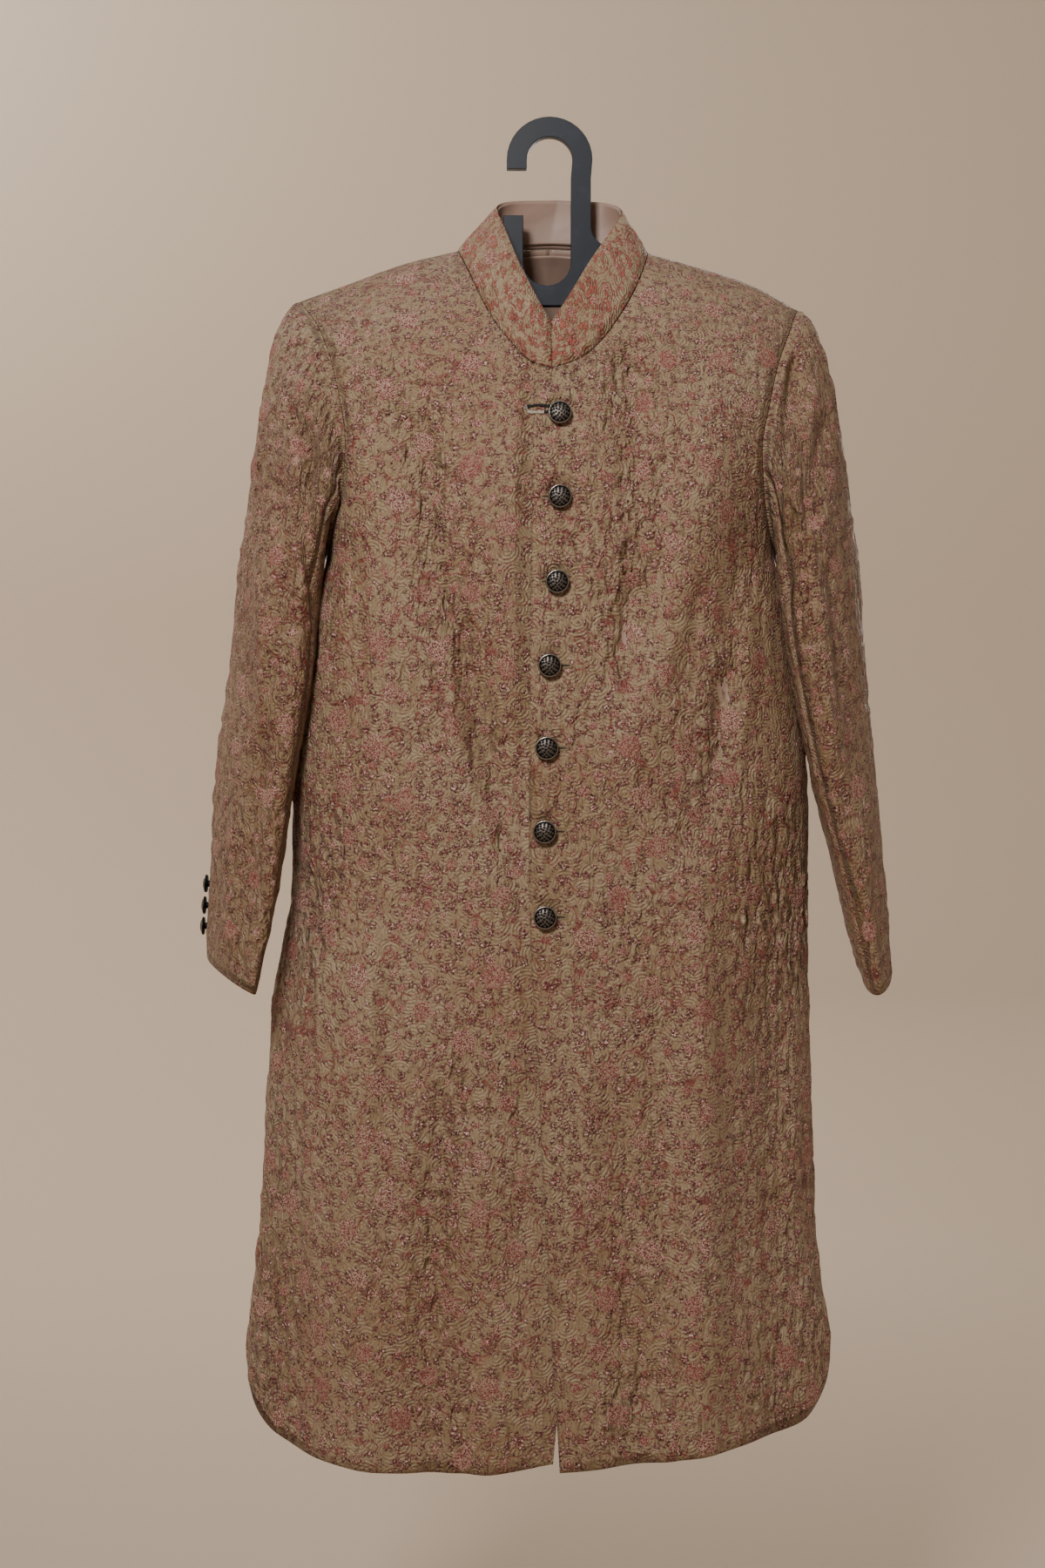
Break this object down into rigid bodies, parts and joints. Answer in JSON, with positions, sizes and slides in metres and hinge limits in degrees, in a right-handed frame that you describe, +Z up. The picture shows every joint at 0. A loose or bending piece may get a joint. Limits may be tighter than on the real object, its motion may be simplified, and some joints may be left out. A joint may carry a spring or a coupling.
{
  "type": "sherwani coat on hanger",
  "caption": "Knee-length sherwani coat in gold-brown silk, embroidered all over with flowers, with a stand collar and domed metal buttons, on a flat plastic hanger.",
  "frame": {"origin": "seat inside the hanger's hook, where the rail or peg bears", "axes": "+Z up, the coat's front faces -Y, the wearer's left is +X"},
  "size_m": [0.6741, 0.233, 1.2955],
  "materials": {
    "silk": "raw silk with thread embroidery",
    "satin": "satin lining",
    "metal": "antique dark metal",
    "plastic": "moulded, semi matt"
  },
  "bodies": {
    "root": {"front_left": "silk", "back_left": "silk", "sleeve_top_left": "silk", "sleeve_under_left": "silk", "front_right": "silk", "back_right": "silk", "sleeve_top_right": "silk", "sleeve_under_right": "silk", "collar": "silk", "collar_lining": "satin", "back_neck_lining": "satin", "front_button_1": "metal", "front_button_2": "metal", "front_button_3": "metal", "front_button_4": "metal", "front_button_5": "metal", "front_button_6": "metal", "front_button_7": "metal", "cuff_button_left_1": "metal", "cuff_button_left_2": "metal", "cuff_button_left_3": "metal", "cuff_button_right_1": "metal", "cuff_button_right_2": "metal", "cuff_button_right_3": "metal", "hanger": "plastic"}
  },
  "joints": []
}
